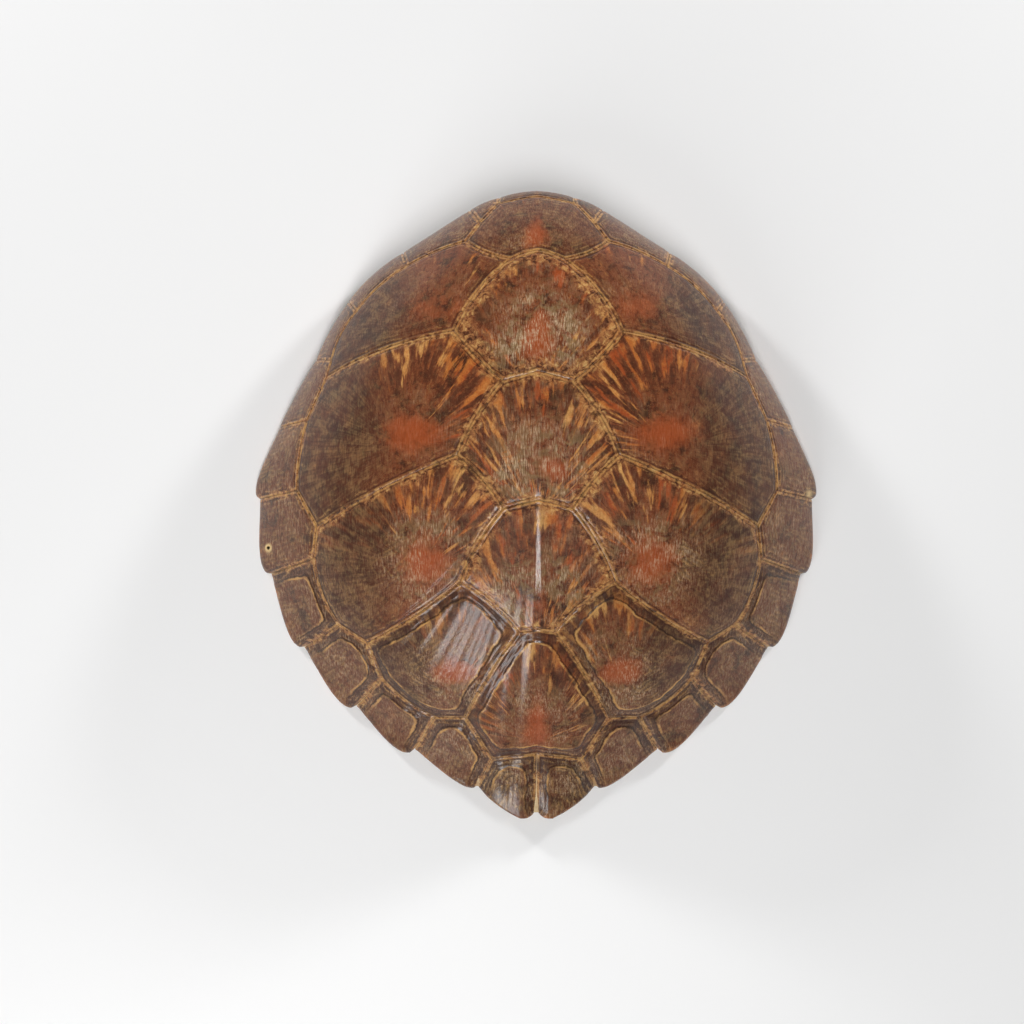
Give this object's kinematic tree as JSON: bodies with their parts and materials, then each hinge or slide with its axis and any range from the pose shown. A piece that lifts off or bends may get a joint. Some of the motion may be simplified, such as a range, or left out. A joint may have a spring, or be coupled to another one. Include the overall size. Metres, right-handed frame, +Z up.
{
  "type": "sea turtle shell",
  "caption": "Domed, heart-shaped sea turtle carapace: horny plates with fanned amber rays over one bony shell, lying dome up on its rim.",
  "frame": {"origin": "on the floor under the middle of the shell", "axes": "+Y towards the head, +X towards the animal's right side, +Z up"},
  "size_m": [0.4572, 0.507, 0.1375],
  "materials": {
    "bone": "dry, matt old bone",
    "keel_horn": "varnished horn, amber rays on red-brown",
    "side_horn": "varnished horn, dark brown with amber rays",
    "rim_horn": "varnished horn, red-brown with an amber edge"
  },
  "bodies": {
    "root": {"bony_carapace": "bone", "nuchal_scute": "rim_horn", "vertebral_scute_1": "keel_horn", "vertebral_scute_2": "keel_horn", "vertebral_scute_3": "keel_horn", "vertebral_scute_4": "keel_horn", "vertebral_scute_5": "keel_horn", "costal_scute_left_1": "side_horn", "costal_scute_left_2": "side_horn", "costal_scute_left_3": "side_horn", "costal_scute_left_4": "side_horn", "marginal_scute_left_1": "rim_horn", "marginal_scute_left_2": "rim_horn", "marginal_scute_left_3": "rim_horn", "marginal_scute_left_4": "rim_horn", "marginal_scute_left_5": "rim_horn", "marginal_scute_left_6": "rim_horn", "marginal_scute_left_7": "rim_horn", "marginal_scute_left_8": "rim_horn", "marginal_scute_left_9": "rim_horn", "marginal_scute_left_10": "rim_horn", "marginal_scute_left_11": "rim_horn", "supracaudal_scute_left": "rim_horn", "costal_scute_right_1": "side_horn", "costal_scute_right_2": "side_horn", "costal_scute_right_3": "side_horn", "costal_scute_right_4": "side_horn", "marginal_scute_right_1": "rim_horn", "marginal_scute_right_2": "rim_horn", "marginal_scute_right_3": "rim_horn", "marginal_scute_right_4": "rim_horn", "marginal_scute_right_5": "rim_horn", "marginal_scute_right_6": "rim_horn", "marginal_scute_right_7": "rim_horn", "marginal_scute_right_8": "rim_horn", "marginal_scute_right_9": "rim_horn", "marginal_scute_right_10": "rim_horn", "marginal_scute_right_11": "rim_horn", "supracaudal_scute_right": "rim_horn"}
  },
  "joints": []
}
